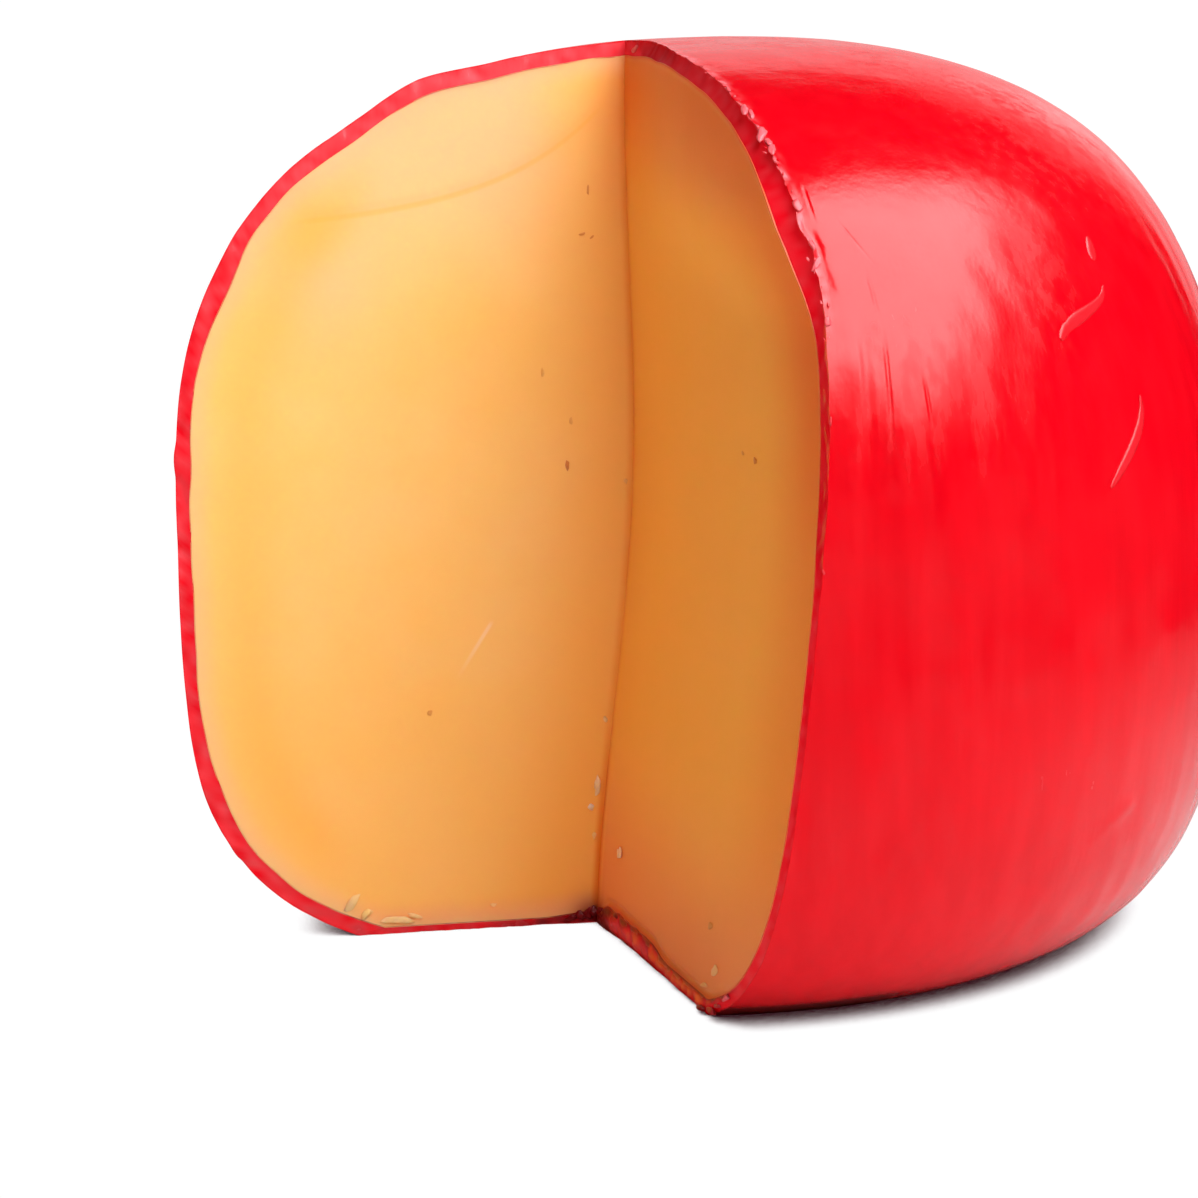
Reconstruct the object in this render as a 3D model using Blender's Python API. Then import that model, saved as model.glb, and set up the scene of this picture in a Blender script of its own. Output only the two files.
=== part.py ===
# A ball of semi-hard cheese in a coat of wax, with one wedge cut out from top to base.
# Two pieces: the cheese itself, and the wax that was poured round it and peels off as a shell.
# Metres, +Z up. The ball stands on its flat base, with its axis on Z and the base's centre at
# the origin. The cut-out opens towards -X and -Y.

import math

import bmesh
import bpy
import numpy as np

# The whole ball
BALL_RADIUS = 0.0725            # at its widest level
WIDEST_LEVEL = 0.0547           # that level's height above the floor
CROWN_HEIGHT = 0.0647           # from the widest level up to the top
UNDERSIDE_DEPTH = 0.0597        # depth of the lower half, had its own weight not flattened it
CROWN_CURVE = (2.60, 2.53)      # superellipse exponents across and up: 2 is an ellipse, more is boxier
UNDERSIDE_CURVE = (3.38, 4.02)

# Cheese cures a little out of round: (share of the radius, lobes round the ball, azimuth of a lobe)
CROWN_LOBES = ((0.013, 1, 167.0), (0.012, 2, 92.0))
UNDERSIDE_LOBES = ((0.019, 1, 149.0), (0.011, 2, 74.0))
UNDERSIDE_LOBE_SHIFT = 0.6      # under 1, the lower lobes sit nearer to the floor

# The coat
WAX_THICKNESS = 0.0020
LAYER_GAP = 0.0003              # clearance between the two solids

# The cut-out: two knife cuts that meet in a crease, beside the ball's axis
CREASE_FOOT = (-0.0182, -0.0033)    # X and Y of the crease at the floor
CREASE_TOP = (-0.0057, 0.0168)      # X and Y of the crease at the ball's full height
CREASE_BOW = (0.0029, -0.0007)      # how far the blade bent away at mid height
LEFT_FACE_AZIMUTH = 173.3           # direction in which each cut face leaves the crease
RIGHT_FACE_AZIMUTH = 275.8
CUT_REACH = 0.095                   # length of the cuts, past the ball's skin
CUT_OVERRUN = 0.010                 # how far the cuts run past the top and the base

# Fineness of the solids
SEGMENTS = 60
SIDE_RINGS = 26
CUT_LEVELS = 16
OUTLINE_SAMPLES = 400

WAX_COLOUR = (0.93, 0.07, 0.11)
CHEESE_COLOUR = (0.98, 0.77, 0.43)

BALL_HEIGHT = WIDEST_LEVEL + CROWN_HEIGHT


def linear(colour):
    """Display colour to the linear values that a material takes."""
    return [c / 12.92 if c <= 0.04045 else ((c + 0.055) / 1.055) ** 2.4 for c in colour]


def material(name, colour, roughness):
    made = bpy.data.materials.new(name)
    made.use_nodes = True
    shader = made.node_tree.nodes["Principled BSDF"]
    shader.inputs["Base Color"].default_value = (*linear(colour), 1.0)
    shader.inputs["Roughness"].default_value = roughness
    shader.inputs["Metallic"].default_value = 0.0
    return made


def superellipse(curve, height, angles):
    """Quarter outline: radius and height above the widest level, for angles from 0 to 90 degrees."""
    across, up = curve
    radius = BALL_RADIUS * np.cos(angles) ** (2 / across)
    return radius, height * np.sin(angles) ** (2 / up)


def outer_profile():
    """Half outline of the ball: rows of radius and height, evenly spaced from the top's centre
    down the side to the base's edge, and then the base's centre."""
    crown_angles = np.linspace(math.pi / 2, 0, OUTLINE_SAMPLES)
    floor_angle = math.asin((WIDEST_LEVEL / UNDERSIDE_DEPTH) ** (UNDERSIDE_CURVE[1] / 2))
    underside_angles = np.linspace(0, floor_angle, OUTLINE_SAMPLES)[1:]
    crown_radius, rise = superellipse(CROWN_CURVE, CROWN_HEIGHT, crown_angles)
    underside_radius, drop = superellipse(UNDERSIDE_CURVE, UNDERSIDE_DEPTH, underside_angles)
    radius = np.concatenate([crown_radius, underside_radius])
    height = np.concatenate([WIDEST_LEVEL + rise, WIDEST_LEVEL - drop])
    length = np.concatenate([[0], np.cumsum(np.hypot(np.diff(radius), np.diff(height)))])
    stations = np.linspace(0, length[-1], SIDE_RINGS + 1)
    side = np.stack([np.interp(stations, length, radius), np.interp(stations, length, height)], axis=1)
    side[0, 0] = 0.0
    side[-1, 1] = 0.0
    return np.vstack([side, [0.0, 0.0]])


def inset_profile(profile, depth):
    """The outline moved inwards by depth, with every stretch parallel to the one it came from."""
    along = np.diff(profile, axis=0)
    along /= np.linalg.norm(along, axis=1)[:, None]
    outward = np.stack([-along[:, 1], along[:, 0]], axis=1)
    before, after = outward[:-1], outward[1:]
    mitre = (before + after) / (1 + (before * after).sum(axis=1))[:, None]
    moved = profile.copy()
    moved[1:-1] -= depth * mitre
    moved[0, 1] -= depth / outward[0, 1]
    moved[-1, 1] -= depth / outward[-1, 1]
    return moved


def swell(height, azimuth):
    """Factor on the radius: the lobes are strongest part way up each half and fade to nothing at
    the top, at the widest level and at the floor."""
    if height > WIDEST_LEVEL:
        lobes, share = CROWN_LOBES, (height - WIDEST_LEVEL) / CROWN_HEIGHT
    else:
        lobes, share = UNDERSIDE_LOBES, (height / WIDEST_LEVEL) ** UNDERSIDE_LOBE_SHIFT
    waves = sum(size * math.cos(count * (azimuth - math.radians(turn))) for size, count, turn in lobes)
    return 1 + waves * math.sin(math.pi * share) ** 2


def turned_body(name, depth):
    """The ball's outline, moved inwards by depth and turned round Z, as one closed mesh."""
    outline = outer_profile()
    profile = inset_profile(outline, depth)
    azimuths = [2 * math.pi * step / SEGMENTS for step in range(SEGMENTS)]
    mesh = bmesh.new()
    rings = []
    for (_, level), (radius, height) in zip(outline[1:-1], profile[1:-1]):
        reach = [radius * swell(level, azimuth) for azimuth in azimuths]
        rings.append([mesh.verts.new((r * math.cos(a), r * math.sin(a), height))
                      for r, a in zip(reach, azimuths)])
    top = mesh.verts.new((0, 0, profile[0, 1]))
    base = mesh.verts.new((0, 0, profile[-1, 1]))
    for step in range(SEGMENTS):
        following = (step + 1) % SEGMENTS
        mesh.faces.new((top, rings[0][step], rings[0][following]))
        mesh.faces.new((base, rings[-1][following], rings[-1][step]))
        for upper, lower in zip(rings, rings[1:]):
            mesh.faces.new((upper[step], lower[step], lower[following], upper[following]))
    return new_object(name, mesh, smooth=True)


def new_object(name, mesh, smooth=False):
    data = bpy.data.meshes.new(name)
    mesh.to_mesh(data)
    mesh.free()
    if smooth:
        data.shade_smooth()
        data.set_sharp_from_angle(angle=math.radians(25))
    made = bpy.data.objects.new(name, data)
    bpy.context.collection.objects.link(made)
    return made


def as_cutter(body):
    body.display_type = "WIRE"
    body.hide_render = True
    return body


def cut_level(height):
    """The cut-out at one height: crease, end of the right face, far corner, end of the left face.
    The bend of the blade is full at the crease and gone at the faces' far ends."""
    share = height / BALL_HEIGHT
    bend = math.sin(math.pi * min(max(share, 0), 1)) ** 2
    straight = np.array(CREASE_FOOT) * (1 - share) + np.array(CREASE_TOP) * share
    ends = [CUT_REACH * np.array([math.cos(math.radians(turn)), math.sin(math.radians(turn))])
            for turn in (RIGHT_FACE_AZIMUTH, LEFT_FACE_AZIMUTH)]
    corners = [bend * np.array(CREASE_BOW), ends[0], ends[0] + ends[1], ends[1]]
    return [(*(straight + corner), height) for corner in corners]


def wedge_cutter(name):
    """The wedge that was taken out, as a stack of four-cornered levels that follows the crease."""
    mesh = bmesh.new()
    heights = np.linspace(-CUT_OVERRUN, BALL_HEIGHT + CUT_OVERRUN, CUT_LEVELS)
    levels = [[mesh.verts.new(corner) for corner in cut_level(height)] for height in heights]
    for lower, upper in zip(levels, levels[1:]):
        for side in range(4):
            following = (side + 1) % 4
            mesh.faces.new((lower[side], lower[following], upper[following], upper[side]))
    mesh.faces.new(levels[-1])
    mesh.faces.new(reversed(levels[0]))
    bmesh.ops.recalc_face_normals(mesh, faces=mesh.faces)
    return as_cutter(new_object(name, mesh))


def subtract(body, cutter):
    cut = body.modifiers.new("cut_" + cutter.name, "BOOLEAN")
    cut.operation = "DIFFERENCE"
    cut.solver = "EXACT"
    cut.object = cutter


def cheese(wedge):
    """The paste of the ball, cut from top to base."""
    body = turned_body("cheese", WAX_THICKNESS + LAYER_GAP)
    body.data.materials.append(material("cheese", CHEESE_COLOUR, 0.42))
    subtract(body, wedge)


def wax_coat(wedge):
    """A shell of even thickness all round the cheese and under it, open where the wedge was."""
    shell = turned_body("wax_coat", 0.0)
    shell.data.materials.append(material("wax", WAX_COLOUR, 0.22))
    subtract(shell, as_cutter(turned_body("wax_lining", WAX_THICKNESS)))
    subtract(shell, wedge)


def main():
    for old in list(bpy.data.objects):
        bpy.data.objects.remove(old, do_unlink=True)
    wedge = wedge_cutter("cut_out_wedge")
    cheese(wedge)
    wax_coat(wedge)


main()
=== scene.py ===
# A cut ball of semi-hard cheese in its coat of red wax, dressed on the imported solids.
# Lengths are metres, worked out from millimetres with mm; heights are above the floor.
import math

import bpy
import numpy as np
from mathutils import Matrix, Vector


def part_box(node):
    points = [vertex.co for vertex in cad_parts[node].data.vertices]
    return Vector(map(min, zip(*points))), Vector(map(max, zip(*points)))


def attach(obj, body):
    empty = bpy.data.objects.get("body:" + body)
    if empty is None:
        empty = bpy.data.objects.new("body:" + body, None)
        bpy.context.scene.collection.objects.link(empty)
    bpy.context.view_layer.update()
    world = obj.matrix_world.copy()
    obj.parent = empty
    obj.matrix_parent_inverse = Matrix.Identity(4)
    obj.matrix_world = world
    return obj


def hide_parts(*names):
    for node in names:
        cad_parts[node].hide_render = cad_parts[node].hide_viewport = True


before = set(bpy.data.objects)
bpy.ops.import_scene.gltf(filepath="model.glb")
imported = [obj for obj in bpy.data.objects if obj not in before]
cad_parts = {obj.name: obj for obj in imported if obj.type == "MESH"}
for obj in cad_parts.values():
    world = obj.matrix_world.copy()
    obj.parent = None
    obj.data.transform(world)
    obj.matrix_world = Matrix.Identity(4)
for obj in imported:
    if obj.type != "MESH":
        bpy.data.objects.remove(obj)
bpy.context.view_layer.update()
print("frame loaded:", sorted(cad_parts))

mm = 0.001
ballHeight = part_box("wax_coat")[1].z

# The ball's form, as the solids have it: superellipses round +Z, above and below the widest level.
ball = {
    "radius": 72.5 * mm,
    "widestLevel": 54.7 * mm,
    "crownHeight": ballHeight - 54.7 * mm,
    "undersideDepth": 59.7 * mm,
    "crownCurve": (2.60, 2.53),             # exponents across and up
    "undersideCurve": (3.38, 4.02),
    "crownLobes": ((0.013, 1, 167.0), (0.012, 2, 92.0)),      # share of the radius, lobes, azimuth
    "undersideLobes": ((0.019, 1, 149.0), (0.011, 2, 74.0)),
    "lobeShift": 0.6,
}

# The cut-out: a crease that leans and bows, and two faces that leave it in these directions.
cut = {
    "foot": (-18.2 * mm, -3.3 * mm),
    "top": (-5.7 * mm, 16.8 * mm),
    "bow": (2.9 * mm, -0.7 * mm),
    "right": math.radians(275.8),
    "left": math.radians(173.3 + 360),      # counted on from the right face, round the uncut side
    "reach": 95 * mm,
    "hub": 55 * mm,                         # height on the crease that the surfaces fan out from
}
outOfBall = 0.13                            # a way that ends outside the ball wherever it starts


def lobeFactor(height, azimuth):
    # factor on the radius: cosine lobes times a squared sine that fades them over each half's height
    def factor(lobes, share):
        waves = sum(size * np.cos(count * (azimuth - math.radians(turn))) for size, count, turn in lobes)
        return 1 + waves * np.sin(math.pi * share) ** 2
    up = np.clip((height - ball["widestLevel"]) / ball["crownHeight"], 0, 1)
    down = np.clip(height / ball["widestLevel"], 1e-9, 1) ** ball["lobeShift"]
    return np.where(height > ball["widestLevel"], factor(ball["crownLobes"], up),
                    factor(ball["undersideLobes"], down))


def outsideness(points, inset):
    # superellipse sum of the shares of radius and height, each to its power, less one: below 0 is inside
    x, y, z = points[..., 0], points[..., 1], points[..., 2]
    radius = np.hypot(x, y) / ((ball["radius"] - inset) * lobeFactor(z, np.arctan2(y, x)))
    lift = np.abs(z - ball["widestLevel"])
    crown, underside = (radius ** across + (lift / (ball[size] - inset)) ** up - 1
                        for (across, up), size in ((ball["crownCurve"], "crownHeight"),
                                                   (ball["undersideCurve"], "undersideDepth")))
    return np.where(z > ball["widestLevel"], crown, underside)


def unit(vectors):
    # each vector divided by its length
    return vectors / np.linalg.norm(vectors, axis=-1, keepdims=True)


def outward(points, step=0.05 * mm):
    # unit normal of the ball's form: differences of outsideness along X, Y and Z
    slope = np.stack([outsideness(points + step * axis, 0) - outsideness(points - step * axis, 0)
                      for axis in np.eye(3)], axis=-1)
    return unit(slope)


def fromCrease(turn, along, height):
    # a point at a height, that far from the crease in direction turn: the crease is a straight line
    # plus a squared-sine bow, and the bow fades evenly along the way
    share = height / ballHeight
    bend = np.sin(math.pi * np.clip(share, 0, 1)) ** 2 * (1 - along / cut["reach"])
    x, y = (cut["foot"][i] * (1 - share) + cut["top"][i] * share + cut["bow"][i] * bend for i in (0, 1))
    return np.stack(np.broadcast_arrays(x + along * np.cos(turn), y + along * np.sin(turn), height), axis=-1)


def halveDown(isInside, low, high, steps=32):
    # the place between low (inside) and high (outside) where isInside changes, by halving the span
    for _ in range(steps):
        middle = (low + high) / 2
        inside = isInside(middle)
        low, high = np.where(inside, middle, low), np.where(inside, high, middle)
    return (low + high) / 2


def fanSurface(turns, sideRows, baseRows, inset, floorLevel):
    # The ball's form swept round the crease. In each upright half plane, rays leave the crease's hub:
    # straight up, over the crown and down to the base's edge, then along the base to the crease's foot.
    # Gives the points, and each one's distance from the crease and height.
    turns, floorLevel = np.broadcast_arrays(turns[None, :], floorLevel)
    edge = halveDown(lambda along: outsideness(fromCrease(turns, along, floorLevel), inset) < 0,
                     np.zeros(turns.shape), np.full(turns.shape, outOfBall))
    edgeAngle = np.arctan2(floorLevel - cut["hub"], edge)
    down = np.linspace(0, 1, sideRows + 1)[:, None]
    back = np.linspace(0, 1, baseRows + 1)[1:, None]
    angle = np.concatenate([math.pi / 2 + (edgeAngle - math.pi / 2) * down,
                            edgeAngle - (math.pi / 2 + edgeAngle) * back])

    def isInside(reach):
        place = fromCrease(turns, reach * np.cos(angle), cut["hub"] + reach * np.sin(angle))
        return outsideness(place, inset) < 0
    reach = halveDown(isInside, np.zeros(angle.shape), np.full(angle.shape, outOfBall))
    reach[sideRows:] = ((floorLevel - cut["hub"]) / np.sin(angle))[sideRows:]
    along, height = reach * np.cos(angle), cut["hub"] + reach * np.sin(angle)
    along[[0, -1]] = 0
    height[sideRows:] = floorLevel
    return fromCrease(turns, along, height), along, height


def ripple(points, size, seed, waves=14):
    # smooth noise of about -1 to 1: a sum of plane waves, about size metres long, in seeded directions
    draw = np.random.default_rng(seed)
    ways = draw.normal(size=(waves, 3))
    ways *= 2 * math.pi / (np.linalg.norm(ways, axis=1) * size * draw.uniform(0.75, 1.6, waves))[:, None]
    return np.sin(points @ ways.T + draw.uniform(0, 2 * math.pi, waves)).sum(axis=-1) * math.sqrt(0.5 / waves)


def bump(distance, width):
    # bell curve: 1 at distance 0, falling to a third at width
    return np.exp(-(distance / width) ** 2)


def fade(distance, width):
    # smooth step from 1 at 0 down to 0 at width
    share = np.clip(distance / width, 0, 1)
    return 1 - share * share * (3 - 2 * share)


def lengthTo(points):
    # the way along a path to each of its points: the running sum of the steps' lengths
    return np.concatenate([[0], np.cumsum(np.linalg.norm(np.diff(points, axis=0), axis=1))])


def alongPath(across, up, path):
    # distance from a path of points in a plane, and the share of the path's length gone at the nearest one
    path = np.array(path, dtype=float)
    length = lengthTo(path)
    best, gone = np.full(np.shape(across), 1e9), np.zeros(np.shape(across))
    for start, end, before, after in zip(path, path[1:], length, length[1:]):
        way = end - start
        share = np.clip(((across - start[0]) * way[0] + (up - start[1]) * way[1]) / (way @ way), 0, 1)
        distance = np.hypot(across - start[0] - share * way[0], up - start[1] - share * way[1])
        gone = np.where(distance < best, (before + share * (after - before)) / length[-1], gone)
        best = np.minimum(distance, best)
    return best, gone


def spacedTurns(count, spacing):
    # count + 1 turns from the right face to the left one, spaced in proportion to spacing(turn)
    fine = np.linspace(cut["right"], cut["left"], 4001)
    room = np.concatenate([[0], np.cumsum(1 / spacing((fine[1:] + fine[:-1]) / 2))])
    return np.interp(np.linspace(0, room[-1], count + 1), room, fine)


def newStore():
    # what one piece's mesh is gathered in: points, three-cornered faces and values kept at the points
    return {"points": [], "faces": [], "values": {}, "count": 0}


def addPoints(store, points, **values):
    # takes an array of points with any number of rows and columns; gives their numbers in that shape
    first = store["count"]
    numbers = np.arange(first, first + points[..., 0].size).reshape(points.shape[:-1])
    store["points"].append(points.reshape(-1, 3))
    store["count"] += numbers.size
    for name in {**store["values"], **values}:
        column = store["values"].setdefault(name, [np.zeros(first)])
        column.append(np.broadcast_to(values.get(name, 0.0), numbers.shape).ravel().astype(float))
    return numbers


def addSkin(store, numbers, turned=False):
    # two triangles for each square of a grid, or of many; a square with a side of no length gives one or none
    a, b = numbers[..., :-1, :-1], numbers[..., 1:, :-1]
    c, d = numbers[..., 1:, 1:], numbers[..., :-1, 1:]
    faces = np.concatenate([np.stack(corners, axis=-1).reshape(-1, 3) for corners in ((a, b, c), (a, c, d))])
    real = (faces[:, 0] != faces[:, 1]) & (faces[:, 1] != faces[:, 2]) & (faces[:, 2] != faces[:, 0])
    store["faces"].append(faces[real][:, ::-1] if turned else faces[real])


def closedEnds(numbers):
    # a grid whose first row and last row are each drawn together in one point
    numbers[0], numbers[-1] = numbers[0, 0], numbers[-1, 0]
    return numbers


def makeObject(store, name, material):
    # an object with the mesh that was gathered, leaving out points that no face uses
    points, faces = np.concatenate(store["points"]), np.concatenate(store["faces"])
    used = np.unique(faces)
    renumbered = np.zeros(len(points), dtype=int)
    renumbered[used] = np.arange(len(used))
    mesh = bpy.data.meshes.new(name)
    mesh.from_pydata(points[used].tolist(), [], renumbered[faces].tolist())
    for label, column in store["values"].items():
        mesh.attributes.new(label, "FLOAT", "POINT").data.foreach_set("value", np.concatenate(column)[used])
    mesh.materials.append(material)
    made = bpy.data.objects.new(name, mesh)
    bpy.context.collection.objects.link(made)
    return made


def buildPiece(store, name, material, sharpAngle=None):
    # a smooth piece of the ball; edges that turn by more than sharpAngle degrees stay sharp
    piece = makeObject(store, name, material)
    piece.data.shade_smooth()
    if sharpAngle:
        piece.data.set_sharp_from_angle(angle=math.radians(sharpAngle))
    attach(piece, "root")
    print(f"{name}: {len(piece.data.polygons)} triangles")
    return piece


def linear(hexColour):
    # an sRGB hex colour as the linear values that a shader takes
    parts = [int(hexColour[i:i + 2], 16) / 255 for i in (1, 3, 5)]
    return (*(c / 12.92 if c <= 0.04045 else ((c + 0.055) / 1.055) ** 2.4 for c in parts), 1.0)


def addNode(tree, kind, inputs=None, stops=None, **settings):
    # a node with its settings; an input is a value or another node's output, and stops are a ramp's
    made = tree.nodes.new("ShaderNode" + kind)
    for name, value in settings.items():
        setattr(made, name, value)
    for name, value in (inputs or {}).items():
        if isinstance(value, bpy.types.NodeSocket):
            tree.links.new(value, made.inputs[name])
        else:
            made.inputs[name].default_value = value
    for place, stop in enumerate(stops or []):
        elements = made.color_ramp.elements
        element = elements[place] if place < 2 else elements.new(stop[0])
        element.position, element.color = stop
    return made


def maths(tree, operation, *values):
    # the result of an operation on one, two or three values
    return addNode(tree, "Math", dict(enumerate(values)), operation=operation).outputs[0]


def mapped(tree, value, *ends, **settings):
    # value carried from the span between the first two ends to the one between the last two, or to 0 to 1
    return addNode(tree, "MapRange", {"Value": value, **dict(enumerate(ends, 1))}, **settings).outputs[0]


def softShare(tree, *parts):
    # product of soft steps, each of (value, where it starts, where it ends, strength there and there)
    total = None
    for value, *steps in parts:
        if steps:
            value = mapped(tree, value, *steps, interpolation_type="SMOOTHSTEP")
        total = value if total is None else maths(tree, "MULTIPLY", total, value)
    return total


def noise(tree, place, across, along=None, detail=3.0, roughness=0.5):
    # clouds of a size, or, where a length along Z is given too, upright streaks
    if along:
        squeeze = (1 / across, 1 / across, 1 / along)
        place, across = addNode(tree, "Mapping", {"Vector": place, "Scale": squeeze}).outputs[0], 1.0
    return addNode(tree, "TexNoise", {"Vector": place, "Scale": 1 / across, "Detail": detail,
                                      "Roughness": roughness}).outputs["Fac"]


def ramp(tree, value, *stops):
    # colours along value, even between the stops; a stop is a place and a hex colour or a grey
    stops = [(at, linear(tone) if isinstance(tone, str) else (tone, tone, tone, 1)) for at, tone in stops]
    return addNode(tree, "ValToRGB", {"Fac": value}, stops=stops).outputs["Color"]


def painted(tree, tone, layers):
    # tone with other colours laid over it in turn, each by its share
    for share, colour in layers:
        tone = addNode(tree, "Mix", {0: share, 6: tone, 7: linear(colour)}, data_type="RGBA").outputs[2]
    return tone


def newMaterial(name, marks, **shaderInputs):
    # Gives the material, its tree, its shader's inputs, the place on the piece, and the marks, which are
    # values kept at the mesh's points
    made = bpy.data.materials.new(name)
    made.use_nodes = True
    tree = made.node_tree
    inputs = tree.nodes["Principled BSDF"].inputs
    for socket, value in shaderInputs.items():
        inputs[socket.replace("_", " ")].default_value = value
    place = addNode(tree, "TexCoord").outputs["Object"]
    return made, tree, inputs, place, {
        mark: addNode(tree, "Attribute", attribute_name=mark).outputs["Fac"] for mark in marks}


# Upright scratches in the wax: azimuth in degrees and height in mm of the top and of the foot, half width
# in mm and depth in tenths of a mm
scratches = ((-86.0, 93.0, -87.0, 72.0, 1.00, 1.3), (-89.1, 106.5, -88.8, 101.5, 0.45, 0.9),
             (-86.4, 102.8, -82.8, 96.5, 0.35, 0.6), (-84.3, 97.0, -84.0, 90.0, 0.35, 0.6),
             (-83.8, 91.0, -84.8, 73.5, 0.42, 0.8), (-80.4, 85.0, -80.2, 76.0, 0.35, 0.6))


def scoredWax(tree, place):
    # The scratches' relief: for each, how far the azimuth is from its leaning line, as a soft groove that
    # starts over the lower half of its height and ends over the top three tenths
    axes = addNode(tree, "SeparateXYZ", {0: place}).outputs
    azimuth = maths(tree, "ARCTAN2", axes["Y"], axes["X"])
    scored = 0.0
    for topAzimuth, top, footAzimuth, foot, width, depth in scratches:
        lean = math.radians(topAzimuth - footAzimuth) / ((top - foot) * mm)
        line = maths(tree, "MULTIPLY_ADD", axes["Z"], -lean, azimuth)
        across = maths(tree, "SUBTRACT", line, math.radians(footAzimuth) - lean * foot * mm)
        groove = softShare(tree, (maths(tree, "ABSOLUTE", across), 0.0, math.radians(width / coat["girth"]),
                                  depth, 0.0),
                           (axes["Z"], foot * mm, (foot + 0.5 * (top - foot)) * mm, 0.0, 1.0),
                           (axes["Z"], (top - 0.3 * (top - foot)) * mm, top * mm, 1.0, 0.0))
        scored = maths(tree, "SUBTRACT", scored, groove)
    return addNode(tree, "Bump", {"Height": scored, "Distance": 0.10 * mm}).outputs[0]


def dippedWax():
    # Cheese wax: paraffin with a red dye, laid on by dipping, then handled. It is glossy and a little
    # clear, so thin places glow; handling left upright streaks and scratches and dulled it in patches.
    # Where the blade tore it, it is pale and rough, with painted highlights; shade is painted dark at the
    # foot.
    made, tree, inputs, place, marks = newMaterial(
        "dipped_cheese_wax", ("cut", "scuff", "worn", "grimy", "smeared"), IOR=1.43,
        Subsurface_Weight=0.25, Subsurface_Radius=(1.0, 0.12, 0.10), Subsurface_Scale=1.2 * mm)
    # colour: upright streaks of a slightly deeper dye, 3 mm across and 26 mm long
    dye = ramp(tree, noise(tree, place, 3 * mm, 26 * mm, detail=4.0), (0.36, "#CF0213"), (0.64, "#D60617"))
    # cut rims painted a brighter red for light shining through the thin wax; pale pink is torn wax and in
    # places a painted highlight; dark maroon is painted shade at the foot and along the rolled coat
    tone = painted(tree, dye, ((marks["cut"], "#E60C22"), (marks["worn"], "#F08A94"),
                               (marks["grimy"], "#6E0610"), (marks["smeared"], "#EE7A38")))
    tree.links.new(tone, inputs["Base Color"])

    # gloss: clouds 9 mm wide, and in the dulled patches streaks 1.6 mm across and 18 mm long, along Z
    gloss = mapped(tree, noise(tree, place, 9 * mm, detail=5.0, roughness=0.6), 0.35, 0.70, 0.10, 0.22)
    dull = mapped(tree, noise(tree, place, 1.6 * mm, 18 * mm, roughness=0.6), 0.40, 0.66, 0.04, 0.36,
                  interpolation_type="SMOOTHSTEP")
    rough = maths(tree, "MULTIPLY_ADD", dull, marks["scuff"], gloss)
    for share, roughness in ((marks["cut"], 0.18), (marks["worn"], 0.45), (marks["grimy"], 0.35)):
        rough = addNode(tree, "Mix", {0: share, 2: rough, 3: roughness}).outputs[0]
    tree.links.new(rough, inputs["Roughness"])

    # relief: the dip's orange peel, 3 mm wide, and upright marks, broad ones of the brush and fine ones
    height = noise(tree, place, 3 * mm)
    for width, length, weight in ((1.6, 22, 1.1), (0.5, 12, 0.45)):
        height = maths(tree, "MULTIPLY_ADD", noise(tree, place, width * mm, length * mm, detail=2.0), weight,
                       height)
    relief = addNode(tree, "Bump", {"Height": height, "Strength": 0.35, "Distance": 0.10 * mm,
                                    "Normal": scoredWax(tree, place)})
    tree.links.new(relief.outputs[0], inputs["Normal"])
    return made


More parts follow.
